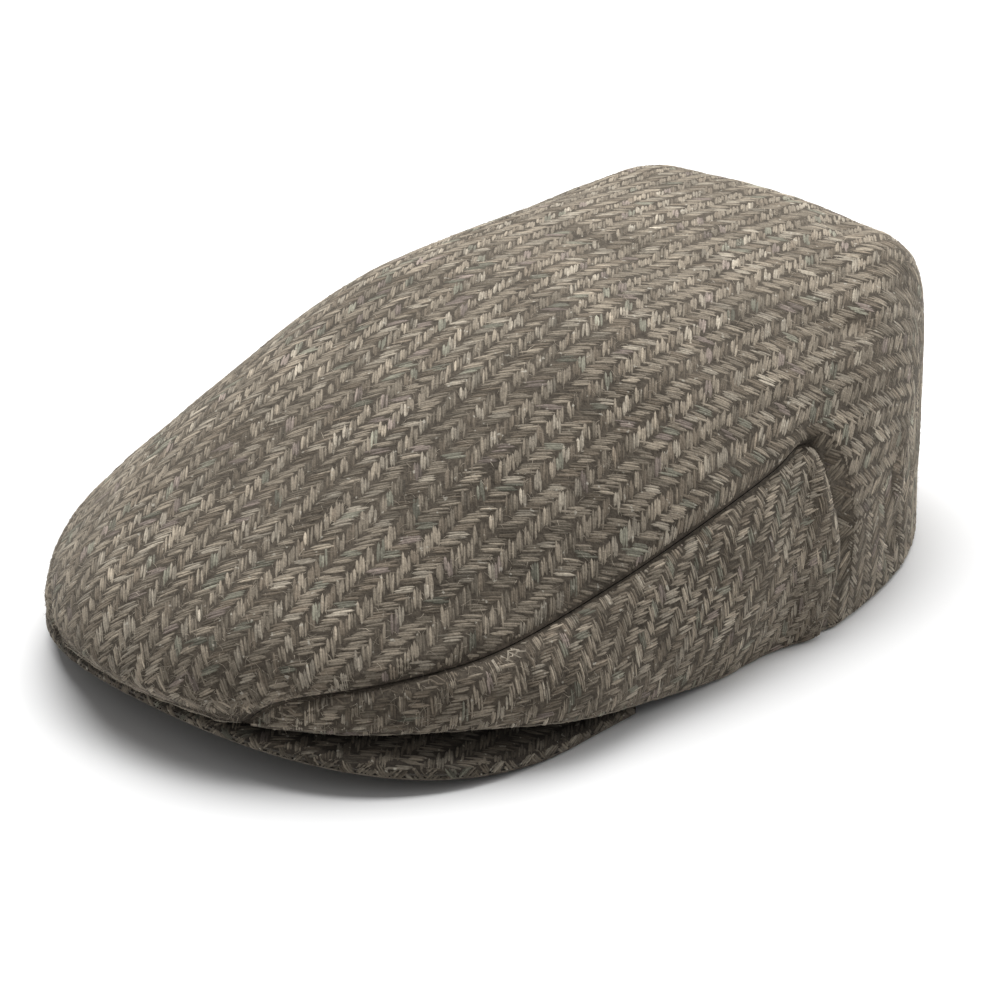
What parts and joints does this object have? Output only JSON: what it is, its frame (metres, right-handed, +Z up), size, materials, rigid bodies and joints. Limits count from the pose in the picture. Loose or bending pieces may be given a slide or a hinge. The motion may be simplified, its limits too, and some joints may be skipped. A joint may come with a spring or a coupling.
{
  "type": "flat cap",
  "caption": "Soft flat cap in brown-grey herringbone tweed: a long top panel runs from the lip to the back hem, with curved side panels and a stiff covered peak; worn on the head.",
  "frame": {"origin": "middle of the cap's length and width, on the surface it rests on", "axes": "-Y towards the peak's front edge, +X to the wearer's left, +Z up"},
  "size_m": [0.1866, 0.277, 0.088],
  "materials": {
    "crown_tweed": "woven wool, matt",
    "peak_tweed": "woven wool over a stiff core, matt"
  },
  "bodies": {
    "root": {"top_panel": "crown_tweed", "side_panel_left": "crown_tweed", "side_panel_right": "crown_tweed", "peak": "peak_tweed"}
  },
  "joints": []
}
